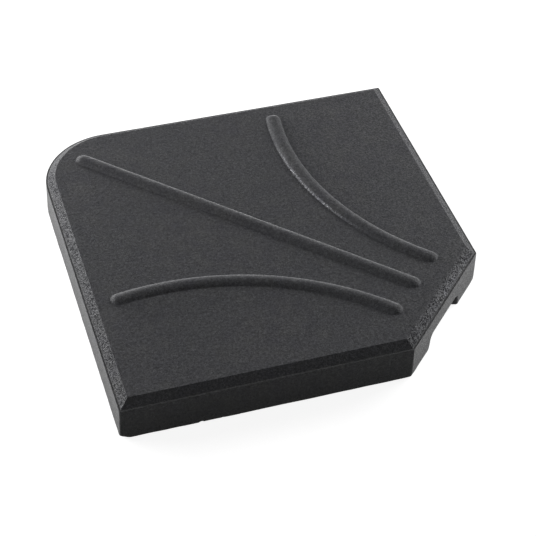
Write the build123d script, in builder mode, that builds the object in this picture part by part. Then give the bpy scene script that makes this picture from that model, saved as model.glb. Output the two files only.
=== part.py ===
from build123d import *
import os
from math import atan, degrees, radians, sqrt, tan

# Footprint, measured at the underside (mm). X runs to the right along the rear side, Y to the rear, Z up.
side = 470.0
outer_corner_radius = 90.0
mast_cut_leg = 130.0
upright_edge_radius = 3.0

# Height of the flat top, and the bevelled rim that ends in a narrow ledge on top of the walls
height = 53.0
bevel_height = 7.7
bevel_width = 10.0
mast_bevel_radius = 12.0
ledge_width = 2.2
wall_draft = 1.0
foot_radius = 3.0

# Three round-backed ribs on top. They start side by side near the mast corner.
rib_width = 19.0
rib_rise = 4.7
rib_foot_radius = 2.0
rib_root = 3.0
rib_spacing = 50.0
rib_mast_end = 195.6
middle_rib_outer_end = -254.6
side_rib_bend_start = 189.0
side_rib_bend_radius = 340.0
side_rib_bend_angle = 54.0

# Finger recess under the cut corner
grip_width = 86.0
grip_depth = 25.0
grip_height = 20.0
grip_side_lean = 28.0
grip_draft = 10.0
grip_upright_radius = 8.0
grip_ceiling_radius = 6.0
grip_overrun = 20.0

# Worked out from the sizes above
wall_height = height - bevel_height
wall_inset = wall_height * tan(radians(wall_draft))
cut_distance = (side - mast_cut_leg) / sqrt(2)
rib_crest_radius = (rib_width**2 / 4 + rib_rise**2) / (2 * rib_rise)

# The slab mirrors about its diagonal. On these planes x runs along it to the mast.
up = Vector(0, 0, 1)
diagonal = Axis((0, 0, 0), (1, -1, 0))
plan = Plane(origin=(0, 0, 0), x_dir=(1, -1, 0), z_dir=(0, 0, 1))
upright = Plane(origin=(0, 0, 0), x_dir=(1, -1, 0), z_dir=(-1, -1, 0))


def plate_outline(level, inset, upright_radius=0):
    """Square with the outer corner rounded and the mast corner cut off at 45 degrees."""
    with BuildSketch(Plane.XY.offset(level)) as outline:
        Rectangle(side - 2 * inset, side - 2 * inset)
        fillet(outline.vertices().sort_by(diagonal)[0], outer_corner_radius - inset)
        chamfer(outline.vertices().sort_by(diagonal)[-1], mast_cut_leg - inset * (2 - sqrt(2)))
        if upright_radius:
            fillet(outline.vertices().sort_by(diagonal)[-4:], upright_radius)
    return outline.sketch.face()


def rib_section(plane, whole=True):
    """Section of a rib, or its right half: rounded crest, hollow foot and a root in the slab."""
    reach = rib_crest_radius + rib_foot_radius
    foot_centre = Vector(sqrt(reach**2 - (reach - rib_rise) ** 2), rib_foot_radius)
    crest_centre = Vector(0, rib_rise - rib_crest_radius)
    blend = crest_centre + (foot_centre - crest_centre) * (rib_crest_radius / reach)
    with BuildSketch(plane) as section:
        with BuildLine():
            crest = RadiusArc((0, rib_rise), blend, rib_crest_radius)
            foot = RadiusArc(crest @ 1, (foot_centre.X, 0), -rib_foot_radius)
            Polyline(foot @ 1, (foot_centre.X, -rib_root), (0, -rib_root), crest @ 0)
        make_face()
        if whole:
            mirror(about=Plane.YZ)
    return section.sketch


# Centre lines of the ribs on the flat top
with BuildLine(plan.offset(height)) as middle_rib:
    Line((middle_rib_outer_end, 0), (rib_mast_end, 0))

with BuildLine(plan.offset(height)) as side_rib:
    start = Line((rib_mast_end, rib_spacing), (side_rib_bend_start, rib_spacing))
    JernArc(start @ 1, start % 1, side_rib_bend_radius, -side_rib_bend_angle)

# Cutter for the finger recess: a drafted pocket that starts outside the wall and narrows inwards
with BuildPart() as grip:
    with BuildSketch(plan):
        lean = tan(radians(grip_side_lean))
        mouth = cut_distance + grip_overrun
        mouth_half = grip_width / 2 + grip_overrun * lean
        inner = cut_distance - grip_depth
        inner_half = grip_width / 2 - grip_depth * lean
        with BuildLine():
            Polyline(
                (mouth, -mouth_half),
                (mouth, mouth_half),
                (inner, inner_half),
                (inner, -inner_half),
                close=True,
            )
        make_face()
    extrude(amount=grip_height, taper=grip_draft)
    inner_wall = grip.faces().sort_by(diagonal)[0]
    fillet(inner_wall.edges().sort_by(Axis.Z)[1:3], grip_upright_radius)
    ceiling = grip.faces().sort_by(Axis.Z)[-1]
    fillet(ceiling.edges().sort_by(diagonal)[:-1], grip_ceiling_radius)

with BuildPart() as weight_slab:
    # Drafted walls with narrowly rounded uprights
    extrude(plate_outline(0, 0, upright_edge_radius), amount=wall_height, taper=wall_draft)

    # Bevelled rim and flat top. The bevel towards the mast starts in a soft curve.
    rim_foot = plate_outline(wall_height, wall_inset + ledge_width)
    extrude(rim_foot, amount=bevel_height, taper=degrees(atan(bevel_width / bevel_height)))
    flat_top = weight_slab.faces().sort_by(Axis.Z)[-1]
    fillet(flat_top.edges().sort_by(diagonal)[-1], mast_bevel_radius)

    # Ribs: one section swept along each line and turned round at its ends
    for line in (middle_rib.line, side_rib.line, side_rib.line.mirror(upright)):
        across = Plane(origin=line @ 0, x_dir=(line % 0).cross(up), z_dir=-(line % 0))
        sweep(rib_section(across), path=line)
        for end, outward in ((line @ 0, -(line % 0)), (line @ 1, line % 1)):
            half = rib_section(Plane(origin=end, x_dir=outward.cross(up), z_dir=-outward), whole=False)
            revolve(half, axis=Axis(end, up), revolution_arc=180)

    # Finger recess. One radius rounds its mouth and the foot of the whole slab.
    add(grip.part, mode=Mode.SUBTRACT)
    recess_edges = weight_slab.edges(Select.LAST).filter_by_position(Axis.Z, 0, grip_height, (False, True))
    mouth_edges = recess_edges.filter_by_position(diagonal, cut_distance - wall_inset, cut_distance)
    foot_edges = weight_slab.faces().sort_by(Axis.Z)[0].edges()
    fillet(mouth_edges + foot_edges, foot_radius)

weight_slab.part.label = "weight_slab"

os.makedirs("parts", exist_ok=True)
export_step(weight_slab.part, "parts/weight_slab.step")
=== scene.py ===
from math import acos, cos, pi, radians, sin, sqrt

import bmesh
import bpy
from mathutils import Matrix, Vector, geometry, kdtree, noise


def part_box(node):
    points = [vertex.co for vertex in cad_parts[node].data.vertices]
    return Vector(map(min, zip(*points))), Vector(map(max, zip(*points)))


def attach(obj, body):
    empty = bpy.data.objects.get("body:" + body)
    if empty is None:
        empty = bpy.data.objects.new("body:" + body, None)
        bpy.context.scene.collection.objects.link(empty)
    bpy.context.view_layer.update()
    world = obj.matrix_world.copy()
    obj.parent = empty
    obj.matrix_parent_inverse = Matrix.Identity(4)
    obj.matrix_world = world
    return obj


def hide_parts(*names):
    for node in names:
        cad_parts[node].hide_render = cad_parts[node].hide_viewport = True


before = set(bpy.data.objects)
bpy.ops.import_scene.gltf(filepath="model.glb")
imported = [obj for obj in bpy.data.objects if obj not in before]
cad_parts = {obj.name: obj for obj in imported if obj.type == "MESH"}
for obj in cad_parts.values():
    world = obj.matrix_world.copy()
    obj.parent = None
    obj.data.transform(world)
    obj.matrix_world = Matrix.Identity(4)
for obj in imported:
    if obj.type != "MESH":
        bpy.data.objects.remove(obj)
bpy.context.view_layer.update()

# The casting, in millimetres: X to the right, Y to the rear, Z up, with the underside at zero
MM = 0.001
casting_low, casting_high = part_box("weight_slab")
slab_side = 470.0
outer_corner_radius = 90.0
mast_cut_leg = 130.0
cut_distance = (slab_side - mast_cut_leg) / sqrt(2)
ledge_height = 45.3
rib_rise = 4.7
flat_top = casting_high.z / MM - rib_rise

# Section of the ribs: a round crest between two hollow feet
rib_width = 19.0
rib_foot_radius = 2.0
rib_crest_radius = (rib_width**2 / 4 + rib_rise**2) / (2 * rib_rise)
rib_reach = rib_crest_radius + rib_foot_radius
rib_foot_end = sqrt(rib_reach**2 - (rib_reach - rib_rise) ** 2)

# Centre lines of the ribs, measured along and across the slab's diagonal
rib_mast_end = 195.6
middle_rib_outer_end = -254.6
side_rib_offset = 50.0
side_rib_bend_start = 189.0
side_rib_bend_radius = 340.0
side_rib_bend_angle = radians(54.0)

# How fine the mesh is
cell_size = 6.0
wall_cell_levels = (8.0, 14.0, 20.0, 26.0, 32.0, 38.0)
rib_step = 3.0
crest_steps = 6
foot_steps = 4
corner_cell_size = 1.2
loose_point_room = 2.7

# Points this near are welded, cut at, merged in plan, or count as on the flat top or on the ledge.
# Faces that turn by less than flat_turn count as one.
weld_reach = 0.01
cut_reach = 0.001
plan_reach = 0.0001
top_reach = 0.01
ledge_reach = 0.1
flat_turn = radians(0.4)

# Wear. The mould's sharp lines turn by more than arris_turn and are worn round. The ledge's lip
# turns by more than lip_turn and is worn least. The skin wavers inwards near the sides: slightly
# everywhere, more in the foot and in the lip.
arris_turn = radians(22)
arris_wear = 0.7
lip_turn = radians(60)
lip_rounding = 0.3
skin_wear = 0.25
skin_wave = 45.0
skin_reach = 8.0
foot_wear = 0.9
foot_wave = 16.0
foot_wear_height = 7.0
lip_wear = 0.3
lip_wave = 9.0
lip_wear_height = 1.5
lip_reach = 3.0

# The front left corner has lost its bottom: how far along the front, along the left side and up
lost_corner = Vector((14.0, 10.0, 7.5))
lost_corner_rounding = 1.0
lost_corner_roughness = 0.5
lost_corner_wave = 2.5

# Chips in the foot of the front: the place along it and the size of each
front_chips = ((-142.6, 2.9), (-118.0, 1.8), (-97.0, 1.5), (-79.0, 1.3))
chip_inset = 0.4
chip_inwards = Vector((0, 1, 0.6)).normalized()

# A pinhole that an air bubble left in the flat top
pinhole = Vector((-94.4, 58.5, flat_top))
pinhole_size = 1.1
downwards = Vector((0, 0, -1))

# Sizes of the patterns in the concrete. Real sand is finer than these grains, which are drawn as
# coarse as they need to be to show. Streaks are streak_stretch times as long as they are wide.
grain_size = 1.15
paste_size = 3.5
thumb_size = 20.0
hand_size = 90.0
streak_size = 7.0
streak_stretch = 5.0

# From the darkest to the palest place of a pattern, as a share of the colour
grain_contrast = 0.7
paste_contrast = 1.6
streak_contrast = 0.28

# The walls' shade at the foot and their painted light under the ledge, where the top's is one
wall_foot_shade = 0.64
painted_wall_light_by_ledge = 1.62

# How far the grains turn their faces, covered by paste and lying bare, how bare the rim's front is,
# and how high the paste is uneven, in millimetres
covered_grain_turn = 0.17
bare_grain_turn = 1.0
front_bareness = 0.3
paste_relief = 0.5

# A painted highlight along the outer flank of the right-hand curved rib, drawn as a line of pale
# grains: how far from the rib's centre line, how wide, where its middle is on the rib's bend, how
# far it runs each way, and how much paler
highlight_line_offset = 8.4
highlight_line_width = 1.7
highlight_line_middle = radians(30.0)
highlight_line_reach = 100.0
highlight_line_gain = 6.0

# A painted highlight, a paler patch on the cut corner's bevel over the finger recess: where across,
# how far it spreads, and how much paler
highlight_patch_across = 12.0
highlight_patch_reach = 75.0
highlight_patch_gain = 0.8

# The photograph's camera, for a square image
image_side = 536
focal_length_px = 1599.84
sensor_width = 36.0
camera_azimuth = radians(-18.79)
camera_elevation = radians(43.34)
camera_roll = radians(2.13)
camera_distance = 1.9584
centre_px = (262.53, 259.31)

# Width and height of the softboxes, in metres
broad = (1.0, 0.6)
strip = (1.0, 0.28)
small = (0.45, 0.2)

# Strength of the light from all round
fill_strength = 0.03

# The floor, in metres from its middle: how far it reaches, and where its glow to the eye begins to
# rise from least_glow and where it is full white
floor_reach = 20.0
glow_start = 0.4
glow_full = 1.5
least_glow = 0.9


def on_plan(along, across):
    """A point in plan, given along the diagonal to the mast corner and across it to the right."""
    return Vector(((along + across) / sqrt(2), (across - along) / sqrt(2)))


def rib_line(side):
    """Centre line of the middle rib (side 0) or a curved one (1 or -1), from its mast end on."""
    if side == 0:
        count = round((rib_mast_end - middle_rib_outer_end) / rib_step)
        step = (rib_mast_end - middle_rib_outer_end) / count
        return [on_plan(rib_mast_end - step * i, 0) for i in range(count + 1)]
    count = round(side_rib_bend_radius * side_rib_bend_angle / rib_step)
    points = [on_plan(rib_mast_end, side * side_rib_offset)]
    for i in range(count + 1):
        turn = side_rib_bend_angle * i / count
        along = side_rib_bend_start - side_rib_bend_radius * sin(turn)
        across = side_rib_offset + side_rib_bend_radius * (1 - cos(turn))
        points.append(on_plan(along, side * across))
    return points


def rib_rows():
    """Distances from a rib's centre line at which its section gets a row of points."""
    lean = acos((rib_reach - rib_rise) / rib_reach)
    crest = [rib_crest_radius * sin(lean * i / crest_steps) for i in range(crest_steps + 1)]
    foot = [rib_foot_radius * sin(lean * i / foot_steps) for i in reversed(range(foot_steps))]
    return crest + [rib_foot_end - row for row in foot] + [rib_foot_end + rib_foot_radius]


def rib_points(line):
    """Points in rows beside a rib's centre line, and in arcs round its two ends."""
    points = []
    last = len(line) - 1
    for i, centre in enumerate(line):
        ahead = (line[min(i + 1, last)] - line[max(i - 1, 0)]).normalized()
        left = Vector((-ahead.y, ahead.x))
        points.append(centre)
        for row in rib_rows()[1:]:
            points += [centre + left * row, centre - left * row]
            if i in (0, last):
                outward = -ahead if i == 0 else ahead
                arc = max(3, round(pi * row / rib_step))
                for turn in range(1, arc):
                    angle = pi * turn / arc
                    points.append(centre + left * (row * cos(angle)) + outward * (row * sin(angle)))
    return points


def flat_top_faces(bm):
    """The faces of the flat top, without the slopes beside it."""
    return [face for face in bm.faces if all(v.co.z > flat_top - top_reach for v in face.verts)]


def bare_casting():
    """The CAD casting as one closed mesh in millimetres, without ribs and with whole flat faces."""
    bm = bmesh.new()
    bm.from_mesh(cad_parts["weight_slab"].data)
    bmesh.ops.scale(bm, vec=(1 / MM,) * 3, verts=bm.verts)
    bmesh.ops.remove_doubles(bm, verts=bm.verts, dist=weld_reach)
    bmesh.ops.delete(bm, geom=flat_top_faces(bm), context="FACES")
    rim = [edge for edge in bm.edges if edge.is_boundary]
    bmesh.ops.contextual_create(bm, geom=rim)
    bmesh.ops.dissolve_limit(bm, angle_limit=flat_turn, verts=bm.verts, edges=bm.edges)
    return bm


def sharp_edges(bm, turn):
    """The edges where the surface turns by more than an angle."""
    return [edge for edge in bm.edges if edge.is_manifold and edge.calc_face_angle() > turn]


def on_ledge(edge):
    """Whether an edge runs at the height of the ledge."""
    return all(abs(vert.co.z - ledge_height) < ledge_reach for vert in edge.verts)


def round_edges(bm, edges, offset):
    """Rounds edges in two steps."""
    bmesh.ops.bevel(
        bm, geom=edges, offset=offset, segments=2, profile=0.5, affect="EDGES", clamp_overlap=True
    )


def wear_arrises(bm):
    """Rounds the sharp lines of the mould, and after them the lip of the ledge, a right angle."""
    lip = {edge for edge in sharp_edges(bm, lip_turn) if on_ledge(edge)}
    round_edges(bm, [edge for edge in sharp_edges(bm, arris_turn) if edge not in lip], arris_wear)
    round_edges(bm, [edge for edge in sharp_edges(bm, lip_turn) if on_ledge(edge)], lip_rounding)


def cut_across(bm, geom, normal, point):
    """Cuts pieces of the mesh along a plane, and returns them with what the cut adds."""
    cut = bmesh.ops.bisect_plane(bm, geom=geom, plane_co=point, plane_no=normal, dist=cut_reach)
    return cut["geom"]


def cut_into_cells(bm):
    """Cuts the large faces into cells, so that they can take wear."""
    across, back, up = Matrix.Identity(3)
    count = int(casting_high.x / MM / cell_size)
    steps = range(-count, count + 1)
    planes = [(normal, cell_size * i) for normal in (across, back) for i in steps]
    planes += [(up, height) for height in wall_cell_levels]
    for normal, distance in planes:
        cut_across(bm, bm.verts[:] + bm.edges[:] + bm.faces[:], normal, normal * distance)


def cut_finer(bm, centre, reach, step):
    """Cuts the faces near a point into small cells."""
    near = [f for f in bm.faces if any((v.co - centre).length < reach for v in f.verts)]
    piece = list({item for face in near for item in (face, *face.edges, *face.verts)})
    count = int(reach / step)
    for normal in Matrix.Identity(3):
        for i in range(-count, count + 1):
            piece = cut_across(bm, piece, normal, centre + normal * (step * i))


def sides_near(point):
    """How far inside each side of the outline a point is, each with the side's inward direction."""
    centre = Vector((outer_corner_radius - slab_side / 2, slab_side / 2 - outer_corner_radius))
    out = point.xy - centre
    if out.x < 0 < out.y:
        return [(outer_corner_radius - out.length, -out.normalized().to_3d())]
    return [
        (slab_side / 2 + point.x, Vector((1, 0, 0))),
        (slab_side / 2 - point.x, Vector((-1, 0, 0))),
        (slab_side / 2 + point.y, Vector((0, 1, 0))),
        (slab_side / 2 - point.y, Vector((0, -1, 0))),
        (cut_distance - (point.x - point.y) / sqrt(2), Vector((-1, 1, 0)) / sqrt(2)),
    ]


def waver(point, wave):
    """Smooth noise between zero and one, with bumps about one wave apart."""
    return 0.5 + 0.5 * noise.noise(point / wave)


def falloff(distance, reach):
    """One at no distance, and zero from the reach on."""
    return max(1 - abs(distance) / reach, 0)


def wear_skin(bm):
    """Lets the walls, the foot and the lip of the ledge waver inwards."""
    for vert in bm.verts:
        place = vert.co.copy()
        skin = skin_wear * waver(place, skin_wave)
        skin += foot_wear * waver(place, foot_wave) * falloff(place.z, foot_wear_height)
        lip = lip_wear * waver(place, lip_wave) * falloff(place.z - ledge_height, lip_wear_height)
        for depth, inwards in sides_near(place):
            if depth < skin_reach:
                push = skin * falloff(depth, skin_reach) + lip * falloff(depth, lip_reach)
                vert.co += inwards * push


def outline_in_order(bm):
    """The points round the mesh's one opening, in order."""
    first = next(edge for edge in bm.edges if edge.is_boundary)
    points = [first.verts[0]]
    edge = first
    while edge.other_vert(points[-1]) != points[0]:
        points.append(edge.other_vert(points[-1]))
        edge = next(e for e in points[-1].link_edges if e.is_boundary and e != edge)
    return points


def loose_points(fixed):
    """A grid of points between the fixed ones, and clear of them."""
    taken = kdtree.KDTree(len(fixed))
    for i, point in enumerate(fixed):
        taken.insert(point.to_3d(), i)
    taken.balance()
    count = int(casting_high.x / MM / cell_size)
    steps = range(-count, count + 1)
    grid = [Vector((cell_size * i, cell_size * j)) for i in steps for j in steps]
    return [point for point in grid if taken.find(point.to_3d())[2] > loose_point_room]


def lay_top(bm):
    """Replaces the flat top by triangles that follow the ribs' sections."""
    bmesh.ops.delete(bm, geom=flat_top_faces(bm), context="FACES")
    rim = outline_in_order(bm)
    fixed = [Vector(vert.co.xy) for vert in rim]
    for side in (-1, 0, 1):
        fixed += rib_points(rib_line(side))
    inside_only = 1
    points, _, faces, origins, _, _ = geometry.delaunay_2d_cdt(
        fixed + loose_points(fixed), [], [list(range(len(rim)))], inside_only, plan_reach
    )
    verts = []
    for point, origin in zip(points, origins):
        on_rim = [i for i in origin if i < len(rim)]
        verts.append(rim[on_rim[0]] if on_rim else bm.verts.new((point.x, point.y, flat_top)))
    for face in faces:
        bm.faces.new([verts[i] for i in face])
    bmesh.ops.delete(bm, geom=[v for v in bm.verts if not v.link_faces], context="VERTS")


def wear_front_left_corner(bm):
    """Takes the bottom off the front left corner, with a rounded border and a rough face."""
    corner = Vector((casting_low.x, casting_low.y, 0)) / MM
    reach = 2 * max(lost_corner)
    cut_finer(bm, corner, reach, corner_cell_size)
    outwards = -Vector([1 / length for length in lost_corner])
    depth = 1 / outwards.length
    outwards.normalize()
    for vert in bm.verts:
        away = vert.co - corner
        if away.length < reach:
            beyond = depth + outwards.dot(away)
            taken = (beyond + sqrt(beyond**2 + lost_corner_rounding**2)) / 2
            rough = lost_corner_roughness * waver(vert.co, lost_corner_wave)
            vert.co -= outwards * (taken + rough * min(max(beyond, 0), 1))


def bite(bm, centre, size, inwards):
    """Presses the skin into a small round hollow."""
    cut_finer(bm, centre, 2 * size, size / 4)
    for vert in bm.verts:
        away = vert.co - centre
        if away.length < size:
            run = inwards.dot(away)
            vert.co += inwards * (sqrt(run**2 + size**2 - away.length_squared) - run)


def hex_colour(code):
    """An sRGB hex colour as the linear values that the shaders take."""
    channels = [int(code[i : i + 2], 16) / 255 for i in (1, 3, 5)]
    linear = [c / 12.92 if c <= 0.04045 else ((c + 0.055) / 1.055) ** 2.4 for c in channels]
    return (*linear, 1.0)


def add_node(tree, kind, inputs=None, **settings):
    """Adds a node with its settings. Nodes and sockets among the inputs are linked, values set."""
    node = tree.nodes.new(kind)
    for name, value in settings.items():
        setattr(node, name, value)
    for name, value in (inputs or {}).items():
        if isinstance(value, bpy.types.Node):
            value = value.outputs[0]
        if isinstance(value, bpy.types.NodeSocket):
            tree.links.new(value, node.inputs[name])
        else:
            node.inputs[name].default_value = value
    return node


def raised_ribs_tree():
    """Lifts the flat top round the rib lines to a round crest that runs out in a hollow foot."""
    tree = bpy.data.node_groups.new("raised_ribs", "GeometryNodeTree")
    sockets = tree.interface
    sockets.new_socket("Geometry", in_out="INPUT", socket_type="NodeSocketGeometry")
    sockets.new_socket("Rib lines", in_out="INPUT", socket_type="NodeSocketObject")
    for name in ("Flat top", "Rib rise", "Crest radius", "Foot radius", "Foot end"):
        sockets.new_socket(name, in_out="INPUT", socket_type="NodeSocketFloat")
    sockets.new_socket("Material", in_out="INPUT", socket_type="NodeSocketMaterial")
    sockets.new_socket("Geometry", in_out="OUTPUT", socket_type="NodeSocketGeometry")
    given = tree.nodes.new("NodeGroupInput").outputs
    rise, crest, foot = given["Rib rise"], given["Crest radius"], given["Foot radius"]
    foot_end = given["Foot end"]

    lines = add_node(tree, "GeometryNodeObjectInfo", {"Object": given["Rib lines"]})
    lines = {"Geometry": lines.outputs["Geometry"]}
    near = add_node(tree, "GeometryNodeProximity", lines, target_element="EDGES")
    away = near.outputs["Distance"]

    # Over the crest: a circle whose centre lies below the top. Its height there follows from the
    # squares of its radius and of the distance.
    of_distance = add_node(tree, "ShaderNodeMath", {0: away, 1: away}, operation="MULTIPLY")
    of_radius = add_node(tree, "ShaderNodeMath", {0: crest, 1: crest}, operation="MULTIPLY")
    rest = {0: of_radius, 1: of_distance}
    rest = add_node(tree, "ShaderNodeMath", rest, operation="SUBTRACT")
    rest = add_node(tree, "ShaderNodeMath", {0: rest, 1: 0.0}, operation="MAXIMUM")
    up = add_node(tree, "ShaderNodeMath", {0: rest}, operation="SQRT")
    centre = add_node(tree, "ShaderNodeMath", {0: rise, 1: crest}, operation="SUBTRACT")
    crest_height = add_node(tree, "ShaderNodeMath", {0: centre, 1: up}, operation="ADD")

    # In the foot: a hollow circle that ends level with the top
    inwards = add_node(tree, "ShaderNodeMath", {0: foot_end, 1: away}, operation="SUBTRACT")
    inwards = add_node(tree, "ShaderNodeMath", {0: inwards, 1: 0.0}, operation="MAXIMUM")
    of_distance = {0: inwards, 1: inwards}
    of_distance = add_node(tree, "ShaderNodeMath", of_distance, operation="MULTIPLY")
    of_radius = add_node(tree, "ShaderNodeMath", {0: foot, 1: foot}, operation="MULTIPLY")
    rest = {0: of_radius, 1: of_distance}
    rest = add_node(tree, "ShaderNodeMath", rest, operation="SUBTRACT")
    rest = add_node(tree, "ShaderNodeMath", {0: rest, 1: 0.0}, operation="MAXIMUM")
    down = add_node(tree, "ShaderNodeMath", {0: rest}, operation="SQRT")
    foot_height = add_node(tree, "ShaderNodeMath", {0: foot, 1: down}, operation="SUBTRACT")

    # The two circles touch where the line between their centres crosses them
    reach = add_node(tree, "ShaderNodeMath", {0: crest, 1: foot}, operation="ADD")
    share = add_node(tree, "ShaderNodeMath", {0: crest, 1: reach}, operation="DIVIDE")
    crest_end = add_node(tree, "ShaderNodeMath", {0: foot_end, 1: share}, operation="MULTIPLY")
    on_crest = add_node(tree, "ShaderNodeMath", {0: away, 1: crest_end}, operation="LESS_THAN")
    height = add_node(tree, "ShaderNodeMix", {0: on_crest, 2: foot_height, 3: crest_height})

    # Only the points of the flat top are lifted
    position = tree.nodes.new("GeometryNodeInputPosition")
    level = add_node(tree, "ShaderNodeSeparateXYZ", {0: position}).outputs["Z"]
    just_below = {0: given["Flat top"], 1: top_reach * MM}
    just_below = add_node(tree, "ShaderNodeMath", just_below, operation="SUBTRACT")
    on_top = add_node(tree, "ShaderNodeMath", {0: level, 1: just_below}, operation="GREATER_THAN")
    lift = add_node(tree, "ShaderNodeCombineXYZ", {"Z": height})
    raised = add_node(
        tree,
        "GeometryNodeSetPosition",
        {"Geometry": given["Geometry"], "Selection": on_top, "Offset": lift},
    )
    real = add_node(tree, "GeometryNodeRealizeInstances", {0: raised})
    finished = {"Geometry": real, "Material": given["Material"]}
    finished = add_node(tree, "GeometryNodeSetMaterial", finished)
    add_node(tree, "NodeGroupOutput", {"Geometry": finished})
    return tree


def as_object(name, data):
    """Puts a mesh, a lamp or a camera in the scene as an object."""
    thing = bpy.data.objects.new(name, data)
    bpy.context.scene.collection.objects.link(thing)
    return thing


def from_millimetres(name, bm):
    """A new object, in metres, from a mesh that was made in millimetres."""
    mesh = bpy.data.meshes.new(name)
    bm.to_mesh(mesh)
    bm.free()
    mesh.transform(Matrix.Scale(MM, 4))
    return as_object(name, mesh)


def rib_lines():
    """The centre lines as edges on the flat top, for the ribs' height to be measured from."""
    bm = bmesh.new()
    for side in (-1, 0, 1):
        verts = [bm.verts.new((point.x, point.y, flat_top)) for point in rib_line(side)]
        for start, end in zip(verts, verts[1:]):
            bm.edges.new((start, end))
    return from_millimetres("rib_lines", bm)


def plain_mesh(piece, tree, values):
    """Runs a Geometry Nodes tree on a piece and leaves the result as its plain mesh."""
    modifier = piece.modifiers.new(tree.name, "NODES")
    modifier.node_group = tree
    for item in tree.interface.items_tree:
        if item.in_out == "INPUT" and item.name in values:
            modifier[item.identifier] = values[item.name]
    bpy.context.view_layer.update()
    graph = bpy.context.evaluated_depsgraph_get()
    mesh = bpy.data.meshes.new_from_object(piece.evaluated_get(graph))
    piece.modifiers.remove(modifier)
    piece.data = mesh


def make_slab(material):
    """Makes the slab as it looks: the CAD casting with its wear, and with ribs laid anew."""
    bm = bare_casting()
    wear_arrises(bm)
    cut_into_cells(bm)
    wear_skin(bm)
    lay_top(bm)
    wear_front_left_corner(bm)
    for along, size in front_chips:
        chip = Vector((along, casting_low.y / MM + chip_inset, chip_inset))
        bite(bm, chip, size, chip_inwards)
    bite(bm, pinhole, pinhole_size, downwards)
    bmesh.ops.recalc_face_normals(bm, faces=bm.faces)
    slab = from_millimetres("cast_slab", bm)
    lines = rib_lines()
    plain_mesh(
        slab,
        raised_ribs_tree(),
        {
            "Rib lines": lines,
            "Flat top": flat_top * MM,
            "Rib rise": rib_rise * MM,
            "Crest radius": rib_crest_radius * MM,
            "Foot radius": rib_foot_radius * MM,
            "Foot end": rib_foot_end * MM,
            "Material": material,
        },
    )
    bpy.data.objects.remove(lines)
    slab.data.shade_smooth()
    slab.modifiers.new("flat_faces_stay_flat", "WEIGHTED_NORMAL")
    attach(slab, "root")
    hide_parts("weight_slab")


def above_the_ledge(tree, level):
    """Zero on the walls and the ledge, and one from the rim up."""
    above = {"From Min": (ledge_height + 0.3) * MM, "From Max": (ledge_height + 1.2) * MM}
    return add_node(tree, "ShaderNodeMapRange", {"Value": level, **above})


def sandy_rim(tree, level, above_ledge, facing):
    """One on the rim, where sand shows, and less on its front, which the mould left smoother."""
    below = {"From Min": (flat_top - 0.1) * MM, "From Max": (flat_top - 1.0) * MM}
    below_top = add_node(tree, "ShaderNodeMapRange", {"Value": level, **below})
    rim = add_node(tree, "ShaderNodeMath", {0: above_ledge, 1: below_top}, operation="MULTIPLY")
    sideways = add_node(tree, "ShaderNodeMath", {0: facing["X"]}, operation="ABSOLUTE")
    turned = add_node(tree, "ShaderNodeMath", {0: sideways, 1: facing["Y"]}, operation="ADD")
    bareness = {"Value": turned, "From Min": -0.4, "From Max": -0.15, "To Min": front_bareness}
    bareness = add_node(tree, "ShaderNodeMapRange", bareness)
    return add_node(tree, "ShaderNodeMath", {0: rim, 1: bareness}, operation="MULTIPLY")


def painted_highlight_line(tree, place, level):
    """One on the middle of the painted highlight line, on the rib's flank, and less away from it.
    """
    # A painted highlight, laid along the rib's outer flank
    centre = on_plan(side_rib_bend_start, side_rib_offset + side_rib_bend_radius)
    radius = side_rib_bend_radius + highlight_line_offset
    middle = centre - on_plan(sin(highlight_line_middle), cos(highlight_line_middle)) * radius
    from_centre = {0: place, 1: Vector((*centre, flat_top)) * MM}
    from_centre = add_node(tree, "ShaderNodeVectorMath", from_centre, operation="DISTANCE")
    off_line = {0: from_centre.outputs["Value"], 1: radius * MM}
    off_line = add_node(tree, "ShaderNodeMath", off_line, operation="SUBTRACT")
    off_line = add_node(tree, "ShaderNodeMath", {0: off_line}, operation="ABSOLUTE")
    line = {"Value": off_line, "From Min": highlight_line_width * MM, "From Max": 0.0}
    line = add_node(tree, "ShaderNodeMapRange", line)

    from_middle = {0: place, 1: Vector((*middle, flat_top)) * MM}
    from_middle = add_node(tree, "ShaderNodeVectorMath", from_middle, operation="DISTANCE")
    reach = highlight_line_reach * MM
    stretch = {"Value": from_middle.outputs["Value"], "From Min": reach, "From Max": 0.3 * reach}
    stretch = add_node(tree, "ShaderNodeMapRange", stretch)
    on_rib = {"Value": level, "From Min": flat_top * MM, "From Max": (flat_top + 0.5) * MM}
    on_rib = add_node(tree, "ShaderNodeMapRange", on_rib)
    line = add_node(tree, "ShaderNodeMath", {0: line, 1: stretch}, operation="MULTIPLY")
    return add_node(tree, "ShaderNodeMath", {0: line, 1: on_rib}, operation="MULTIPLY")


def painted_highlight_patch(tree, place, level, above_ledge):
    """A painted highlight: one on the cut corner's bevel over the finger recess, by the ledge, and
    less away.
    """
    # Painted highlight in the middle of the cut corner's bevel
    grip = Vector((*on_plan(cut_distance, highlight_patch_across), ledge_height)) * MM
    away = add_node(tree, "ShaderNodeVectorMath", {0: place, 1: grip}, operation="DISTANCE")
    reach = highlight_patch_reach * MM
    patch = {"Value": away.outputs["Value"], "From Min": reach, "From Max": 0.2 * reach}
    patch = add_node(tree, "ShaderNodeMapRange", patch)
    low = {"Value": level, "From Min": flat_top * MM, "From Max": (ledge_height + 1.0) * MM}
    low = add_node(tree, "ShaderNodeMapRange", low)
    patch = add_node(tree, "ShaderNodeMath", {0: patch, 1: low}, operation="MULTIPLY")
    return add_node(tree, "ShaderNodeMath", {0: patch, 1: above_ledge}, operation="MULTIPLY")


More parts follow.
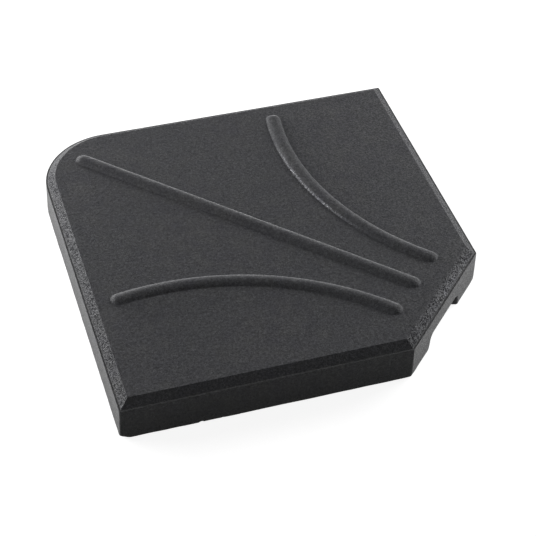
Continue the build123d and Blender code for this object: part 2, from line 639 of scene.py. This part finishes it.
def painted_wall_light_and_streaks(tree, place, level, facing):
    """How pale the walls are: most under the ledge, where light is painted on, and least at the
    foot.
    """
    # Painted light: the walls are paler than the top, most under the ledge. They are darker towards
    # the foot, with faint streaks
    shades = {"To Min": wall_foot_shade, "To Max": painted_wall_light_by_ledge}
    walls = {"Value": level, "From Max": ledge_height * MM, **shades}
    walls = add_node(tree, "ShaderNodeMapRange", walls)
    upright = {"Vector": place, "Scale": (1.0, 1.0, 1 / streak_stretch)}
    upright = add_node(tree, "ShaderNodeMapping", upright)
    streaks = {"Vector": upright, "Scale": 1 / (streak_size * MM), "Detail": 3.0, "Roughness": 0.6}
    streaks = add_node(tree, "ShaderNodeTexNoise", streaks)
    shades = {"To Min": 1 - streak_contrast / 2, "To Max": 1 + streak_contrast / 2}
    streaks = {"Value": streaks, "From Min": 0.3, "From Max": 0.7, **shades}
    streaks = add_node(tree, "ShaderNodeMapRange", streaks)
    walls = add_node(tree, "ShaderNodeMath", {0: walls, 1: streaks}, operation="MULTIPLY")

    # The ledge faces up, takes none of the walls' painted light and is as dark as the top
    ledge = {"Value": facing["Z"], "From Min": 0.5, "From Max": 0.9}
    ledge = add_node(tree, "ShaderNodeMapRange", ledge)
    return add_node(tree, "ShaderNodeMix", {0: ledge, 2: walls, 3: 1.0})


def anthracite_pigment(tree, place):
    """The colour of the paste. Pigment gathers in patches, both a thumb and a hand across."""
    patches = {"Vector": place, "Scale": 1 / (thumb_size * MM), "Detail": 4.0, "Roughness": 0.6}
    patches = add_node(tree, "ShaderNodeTexNoise", patches)
    patches = {"Value": patches, "From Min": 0.3, "From Max": 0.7}
    patches = add_node(tree, "ShaderNodeMapRange", patches)
    tone = {0: patches, 6: hex_colour("#3d3d41"), 7: hex_colour("#464647")}
    tone = add_node(tree, "ShaderNodeMix", tone, data_type="RGBA").outputs[2]
    clouds = {"Vector": place, "Scale": 1 / (hand_size * MM), "Detail": 2.0}
    clouds = add_node(tree, "ShaderNodeTexNoise", clouds)
    clouds = {"Value": clouds, "From Min": 0.35, "From Max": 0.65, "To Max": 0.5}
    clouds = add_node(tree, "ShaderNodeMapRange", clouds)
    tone = {0: clouds, 6: tone, 7: hex_colour("#404143")}
    return add_node(tree, "ShaderNodeMix", tone, data_type="RGBA").outputs[2]


def anthracite_concrete():
    """Concrete pigmented through and cast in a mould: dull, with sand that shows on the rim."""
    material = bpy.data.materials.new("anthracite_concrete")
    material.use_nodes = True
    tree = material.node_tree
    skin = tree.nodes["Principled BSDF"]
    coordinates = tree.nodes.new("ShaderNodeTexCoord").outputs
    place = coordinates["Object"]
    level = add_node(tree, "ShaderNodeSeparateXYZ", {0: place}).outputs["Z"]
    facing = add_node(tree, "ShaderNodeSeparateXYZ", {0: coordinates["Normal"]}).outputs
    above_ledge = above_the_ledge(tree, level)
    highlight_line = painted_highlight_line(tree, place, level)
    rim = sandy_rim(tree, level, above_ledge, facing)
    rim_and_highlight_line = add_node(tree, "ShaderNodeMath", {0: rim, 1: highlight_line}, operation="MAXIMUM")

    # Each grain of sand is a little lighter or darker than the paste round it
    grains = {"Vector": place, "Scale": 1 / (grain_size * MM), "Smoothness": 0.25}
    grains = add_node(tree, "ShaderNodeTexVoronoi", grains, feature="SMOOTH_F1").outputs["Color"]
    paste = {"Vector": place, "Scale": 1 / (paste_size * MM), "Detail": 3.0, "Roughness": 0.6}
    paste = add_node(tree, "ShaderNodeTexNoise", paste)
    tints = add_node(tree, "ShaderNodeSeparateXYZ", {0: grains})
    speckle = {0: tints, 1: grain_contrast, 2: 1 - grain_contrast / 2}
    speckle = add_node(tree, "ShaderNodeMath", speckle, operation="MULTIPLY_ADD")
    blotch = {0: paste, 1: paste_contrast, 2: 1 - paste_contrast / 2}
    blotch = add_node(tree, "ShaderNodeMath", blotch, operation="MULTIPLY_ADD")
    speckle = add_node(tree, "ShaderNodeMath", {0: speckle, 1: blotch}, operation="MULTIPLY")

    # The walls take their painted light, and pale grains paint the highlight along the rib
    walls = painted_wall_light_and_streaks(tree, place, level, facing)
    shade = add_node(tree, "ShaderNodeMix", {0: above_ledge, 2: walls, 3: 1.0})
    shade = add_node(tree, "ShaderNodeMath", {0: shade, 1: speckle}, operation="MULTIPLY")
    # Painted highlight: the grains along the rib's flank are made much paler
    pale = add_node(tree, "ShaderNodeMath", {0: highlight_line, 1: tints}, operation="MULTIPLY")
    pale = {0: pale, 1: highlight_line_gain, 2: 1.0}
    pale = add_node(tree, "ShaderNodeMath", pale, operation="MULTIPLY_ADD")
    shade = add_node(tree, "ShaderNodeMath", {0: shade, 1: pale}, operation="MULTIPLY")
    # Painted highlight: the middle of the cut corner's bevel is made paler
    patch = painted_highlight_patch(tree, place, level, above_ledge)
    paler = {0: patch, 1: highlight_patch_gain, 2: 1.0}
    paler = add_node(tree, "ShaderNodeMath", paler, operation="MULTIPLY_ADD")
    shade = add_node(tree, "ShaderNodeMath", {0: shade, 1: paler}, operation="MULTIPLY")

    # The walls are a little warmer than the top
    warmth = {0: above_ledge, 6: hex_colour("#fffffa"), 7: hex_colour("#ffffff")}
    warmth = add_node(tree, "ShaderNodeMix", warmth, data_type="RGBA").outputs[2]
    tone = {0: 1.0, 6: anthracite_pigment(tree, place), 7: warmth}
    tone = add_node(tree, "ShaderNodeMix", tone, data_type="RGBA", blend_type="MULTIPLY").outputs[2]
    tone = {0: 1.0, 6: tone, 7: shade}
    tone = add_node(tree, "ShaderNodeMix", tone, data_type="RGBA", blend_type="MULTIPLY").outputs[2]
    tree.links.new(tone, skin.inputs["Base Color"])

    skin.inputs["Roughness"].default_value = 0.7
    skin.inputs["Specular IOR Level"].default_value = 0.15
    skin.inputs["Sheen Weight"].default_value = 0.3
    skin.inputs["Sheen Roughness"].default_value = 0.3

    # Grains turn their faces all ways, and most on the rim, where the sand lies bare, and along the
    # painted highlight line
    turned = {0: grains, 1: (0.5, 0.5, 0.5)}
    turned = add_node(tree, "ShaderNodeVectorMath", turned, operation="SUBTRACT")
    amount = {"Value": rim_and_highlight_line, "To Min": covered_grain_turn, "To Max": bare_grain_turn}
    amount = add_node(tree, "ShaderNodeMapRange", amount)
    turned = add_node(tree, "ShaderNodeVectorMath", {0: turned, "Scale": amount}, operation="SCALE")
    uneven = add_node(tree, "ShaderNodeBump", {"Height": paste, "Distance": paste_relief * MM})
    normal = add_node(tree, "ShaderNodeVectorMath", {0: uneven, 1: turned}, operation="ADD")
    normal = add_node(tree, "ShaderNodeVectorMath", {0: normal}, operation="NORMALIZE")
    tree.links.new(normal.outputs[0], skin.inputs["Normal"])
    return material


def set_camera():
    """Stands the camera where the photograph was taken from."""
    back = Vector(
        (
            sin(camera_azimuth) * cos(camera_elevation),
            -cos(camera_azimuth) * cos(camera_elevation),
            sin(camera_elevation),
        )
    )
    level_right = (-back).cross(Vector((0, 0, 1))).normalized()
    level_up = level_right.cross(-back)
    right = level_right * cos(camera_roll) + level_up * sin(camera_roll)
    up = level_up * cos(camera_roll) - level_right * sin(camera_roll)
    aside = (centre_px[0] - image_side / 2) / focal_length_px * camera_distance
    above = (centre_px[1] - image_side / 2) / focal_length_px * camera_distance
    data = bpy.data.cameras.new("camera")
    data.sensor_width = sensor_width
    data.lens = focal_length_px / image_side * sensor_width
    camera = as_object("camera", data)
    place = Matrix.Translation(back * camera_distance - right * aside + up * above)
    camera.matrix_world = place @ Matrix((right, up, back)).transposed().to_4x4()
    bpy.context.scene.camera = camera


def softbox(name, bearing, height, distance, size, power):
    """A soft light aimed at the slab. Its bearing is from the rear to the right, and its height is
    an angle too, both in degrees."""
    data = bpy.data.lights.new(name, "AREA")
    data.shape = "RECTANGLE"
    data.size, data.size_y = size
    data.energy = power
    light = as_object(name, data)
    turn, lift = radians(bearing), radians(height)
    towards = Vector((sin(turn) * cos(lift), cos(turn) * cos(lift), sin(lift)))
    light.location = towards * distance
    light.rotation_euler = towards.to_track_quat("Z", "Y").to_euler()
    light.visible_camera = False


def seen_as_background(tree):
    """One where the eye, a reflection or a transparent piece meets it, and zero for other light."""
    path = tree.nodes.new("ShaderNodeLightPath").outputs
    seen = {0: path["Is Camera Ray"], 1: path["Is Glossy Ray"]}
    seen = add_node(tree, "ShaderNodeMath", seen, operation="MAXIMUM")
    seen = {0: seen, 1: path["Is Transmission Ray"]}
    return add_node(tree, "ShaderNodeMath", seen, operation="MAXIMUM")


def make_surroundings():
    """White to the eye, with a faint fill of light."""
    world = bpy.data.worlds.new("studio")
    bpy.context.scene.world = world
    world.use_nodes = True
    tree = world.node_tree
    tree.nodes.clear()
    seen = seen_as_background(tree)
    plain = hex_colour("#ffffff")
    fill = add_node(tree, "ShaderNodeBackground", {"Color": plain, "Strength": fill_strength})
    white = add_node(tree, "ShaderNodeBackground", {"Color": plain, "Strength": 1.0})
    mix = add_node(tree, "ShaderNodeMixShader", {0: seen, 1: fill, 2: white})
    add_node(tree, "ShaderNodeOutputWorld", {"Surface": mix})


def pale_floor():
    """Matt paint that takes the slab's shadow, with a glow to the eye, white away from the slab."""
    material = bpy.data.materials.new("pale_floor")
    material.use_nodes = True
    tree = material.node_tree
    tree.nodes.clear()
    seen = seen_as_background(tree)
    paint = add_node(tree, "ShaderNodeBsdfDiffuse", {"Color": hex_colour("#a0a0a0")})
    place = tree.nodes.new("ShaderNodeTexCoord").outputs["Object"]
    away = add_node(tree, "ShaderNodeVectorMath", {0: place}, operation="LENGTH").outputs["Value"]
    strength = {"Value": away, "From Min": glow_start, "From Max": glow_full, "To Min": least_glow}
    strength = add_node(tree, "ShaderNodeMapRange", strength)
    glow = {"Color": hex_colour("#ffffff"), "Strength": strength}
    glow = add_node(tree, "ShaderNodeEmission", glow)
    dark = add_node(tree, "ShaderNodeEmission", {"Strength": 0.0})
    glow = add_node(tree, "ShaderNodeMixShader", {0: seen, 1: dark, 2: glow})
    both = add_node(tree, "ShaderNodeAddShader", {0: paint, 1: glow})
    add_node(tree, "ShaderNodeOutputMaterial", {"Surface": both})
    return material


def make_floor(material):
    """Lays the floor under the slab."""
    bm = bmesh.new()
    bmesh.ops.create_grid(bm, x_segments=1, y_segments=1, size=floor_reach)
    mesh = bpy.data.meshes.new("floor")
    bm.to_mesh(mesh)
    bm.free()
    floor = as_object("floor", mesh)
    floor.data.materials.append(material)


def set_lights():
    """Broad light from the left and right, and low light that grazes the top and the walls."""
    softbox("low_rear_softbox", bearing=-27, height=5, distance=1.8, size=strip, power=30)
    softbox("left_softbox", bearing=-68, height=25, distance=1.8, size=broad, power=20)
    softbox("right_softbox", bearing=70, height=24, distance=1.8, size=broad, power=23)
    softbox("near_right_softbox", bearing=90, height=7, distance=0.9, size=small, power=3.5)
    softbox("near_left_softbox", bearing=-60, height=7, distance=0.9, size=small, power=2.8)
    softbox("low_front_softbox", bearing=150, height=5, distance=1.8, size=strip, power=1.2)


set_camera()
make_surroundings()
make_floor(pale_floor())
set_lights()
make_slab(anthracite_concrete())

bpy.context.scene.view_settings.view_transform = "Standard"
